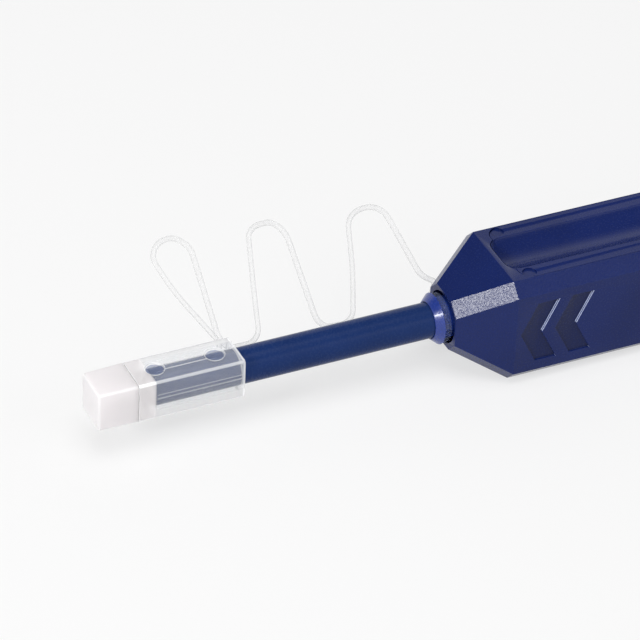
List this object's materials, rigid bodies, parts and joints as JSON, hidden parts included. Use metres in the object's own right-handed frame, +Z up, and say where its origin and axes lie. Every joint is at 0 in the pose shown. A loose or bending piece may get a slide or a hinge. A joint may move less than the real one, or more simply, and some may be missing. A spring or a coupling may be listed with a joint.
{
  "type": "fibre connector cleaning pen",
  "caption": "Square pen-shaped cleaner for fibre connectors, with an extending nozzle, a clear guide cap, a dust cap on a looped strap and a tape-feeding mechanism inside.",
  "frame": {"origin": "centre of the nozzle collar's mouth, on the nozzle axis, in the plane of the nose's front edge", "axes": "+X along the pen from the tip to the tail, +Y to the side that carries the cap strap, +Z up from the flat underside"},
  "size_m": [0.2008, 0.0311, 0.0218],
  "materials": {
    "body_blue": "fine grained matte, dark blue",
    "collar_blue": "glossy, saturated blue",
    "tube_navy": "smooth satin, navy",
    "clear_cap": "clear moulded polypropylene, slightly milky",
    "milky_cap": "milky moulded polypropylene",
    "clear_soft": "clear soft moulded strap",
    "frame_black": "smooth moulded",
    "white_acetal": "smooth acetal",
    "button_grey": "fine grained matte",
    "steel": "ground steel pins",
    "spring_steel": "drawn spring steel",
    "tape_white": "woven microfibre tape"
  },
  "bodies": {
    "housing": {"main_shell": "body_blue", "top_cover": "body_blue", "end_cap": "body_blue", "nose_collar": "collar_blue", "cap_tether": "clear_soft"},
    "frame": {"inner_frame": "frame_black", "cam_pin": "steel", "feed_rack": "white_acetal", "lock_latch": "spring_steel"},
    "lock": {"lock_button": "button_grey"},
    "carriage": {"carriage": "white_acetal", "nozzle_tube": "tube_navy", "return_spring": "spring_steel", "take_up_axle": "steel", "supply_axle": "steel", "holding_pawl": "spring_steel", "tape_guide": "steel", "cleaning_tape": "tape_white"},
    "spindle": {"cam_barrel": "white_acetal", "tip_rod": "white_acetal"},
    "drive": {"feed_gear": "white_acetal", "ratchet_pawl": "spring_steel"},
    "take_up": {"take_up_reel": "frame_black", "take_up_roll": "tape_white"},
    "supply": {"supply_reel": "frame_black", "supply_roll": "tape_white", "brake_washer": "spring_steel"},
    "guide": {"guide_cap": "clear_cap"},
    "dust": {"dust_cap": "milky_cap"}
  },
  "joints": [
    {"name": "nozzle_extension", "type": "slide", "parent": "housing", "child": "frame", "axis": [1, 0, 0], "range_m": [0, 0.022], "deforming": ["cap_tether", "lock_latch"]},
    {"name": "push_to_clean", "type": "slide", "parent": "frame", "child": "carriage", "axis": [1, 0, 0], "range_m": [0, 0.01], "stiffness_N_per_m": 300, "springref_m": -0.006, "deforming": ["return_spring", "cleaning_tape", "holding_pawl"]},
    {"name": "lock_press", "type": "slide", "parent": "frame", "child": "lock", "axis": [0, 0, -1], "range_m": [0, 0.0011], "stiffness_N_per_m": 800, "springref_m": -0.0015},
    {"name": "tip_turn", "type": "hinge", "parent": "carriage", "child": "spindle", "pos_m": [0.05, 0, 0], "axis": [1, 0, 0], "range_deg": [0, 180]},
    {"name": "feed_gear_turn", "type": "hinge", "parent": "carriage", "child": "drive", "pos_m": [0.076, 0, 0], "axis": [0, 1, 0], "range_deg": [0, 136.5]},
    {"name": "take_up_turn", "type": "hinge", "parent": "carriage", "child": "take_up", "pos_m": [0.076, 0, 0], "axis": [0, 1, 0], "range_deg": [0, 136.5]},
    {"name": "supply_turn", "type": "hinge", "parent": "carriage", "child": "supply", "pos_m": [0.0925, 0, 0], "axis": [0, 1, 0], "range_deg": [0, 99.3]},
    {"name": "guide_cap_pull", "type": "slide", "parent": "carriage", "child": "guide", "axis": [-1, 0, 0], "range_m": [0, 0.02]},
    {"name": "dust_cap_pull", "type": "slide", "parent": "guide", "child": "dust", "axis": [-1, 0, 0], "range_m": [0, 0.008]}
  ],
  "couplings": [
    {"joint": "tip_turn", "follows": "push_to_clean", "rad_per_m": 314.16},
    {"joint": "feed_gear_turn", "follows": "push_to_clean", "rad_per_m": 238.1},
    {"joint": "take_up_turn", "follows": "push_to_clean", "rad_per_m": 238.1},
    {"joint": "supply_turn", "follows": "push_to_clean", "rad_per_m": 173.16}
  ]
}
